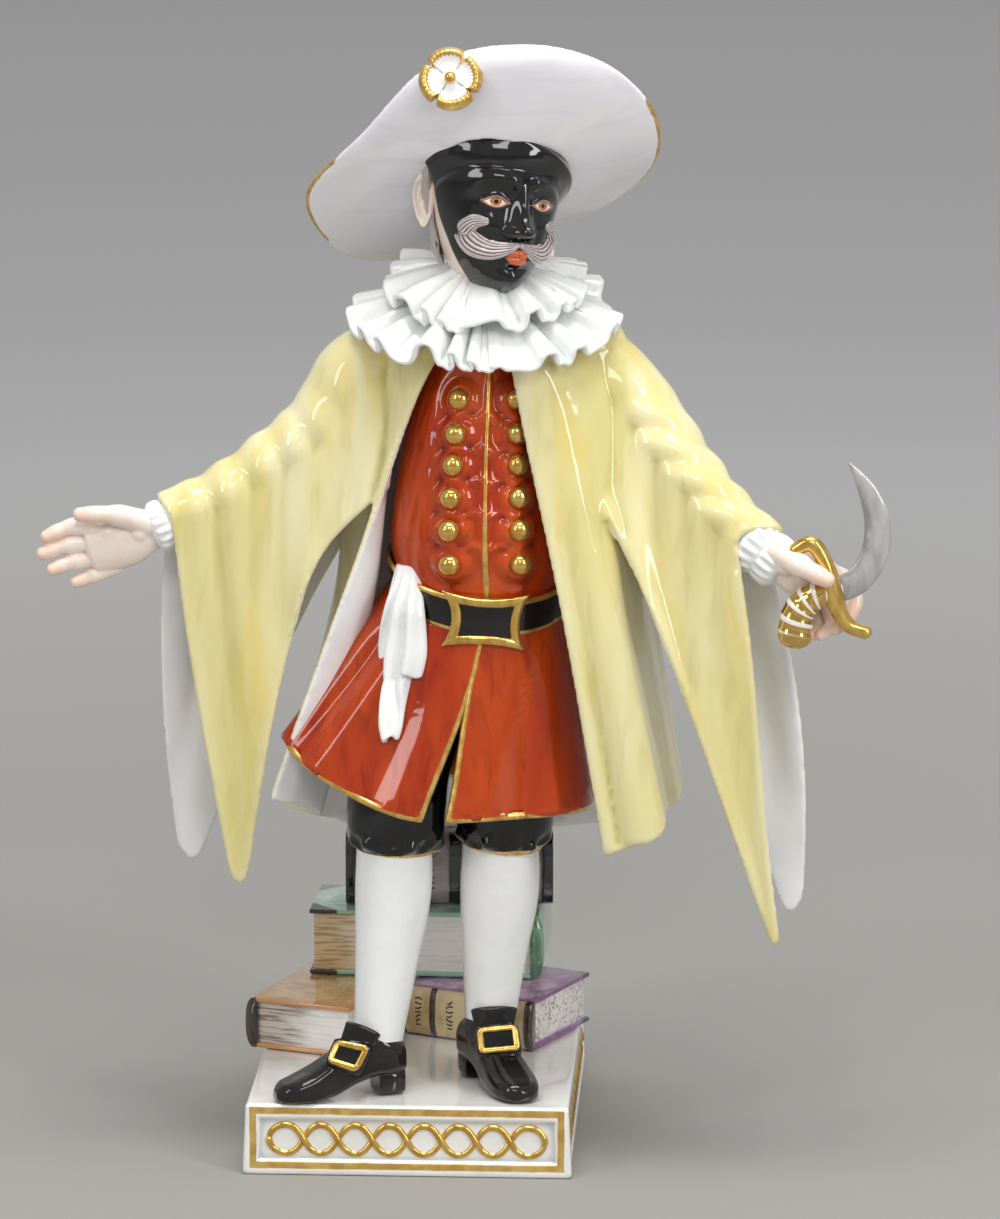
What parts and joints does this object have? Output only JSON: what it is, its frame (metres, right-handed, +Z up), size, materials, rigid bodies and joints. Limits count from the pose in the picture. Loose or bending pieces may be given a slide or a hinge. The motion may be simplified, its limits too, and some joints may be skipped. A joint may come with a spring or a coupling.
{
  "type": "commedia dell arte porcelain figure",
  "caption": "Standing masked comedy figure in a wide-brimmed hat, ruff and open coat, with a scimitar, on a low plinth with a pile of books.",
  "frame": {"origin": "middle of the plinth's underside, on the surface that the figure stands on", "axes": "+Z up, -Y towards the viewer, the way that the figure faces, +X to the viewer's right, on the side of the hand with the scimitar"},
  "size_m": [0.316, 0.16, 0.4256],
  "materials": {
    "plinth_glaze": "gloss",
    "tan_glaze": "gloss",
    "purple_glaze": "gloss",
    "green_glaze": "gloss",
    "blue_glaze": "gloss",
    "figure_glaze": "gloss",
    "gilding": "polished gilding"
  },
  "bodies": {
    "root": {"plinth": "plinth_glaze", "tan_book": "tan_glaze", "purple_book": "purple_glaze", "green_book": "green_glaze", "blue_book": "blue_glaze", "figure": "figure_glaze", "scimitar": "gilding"}
  },
  "joints": []
}
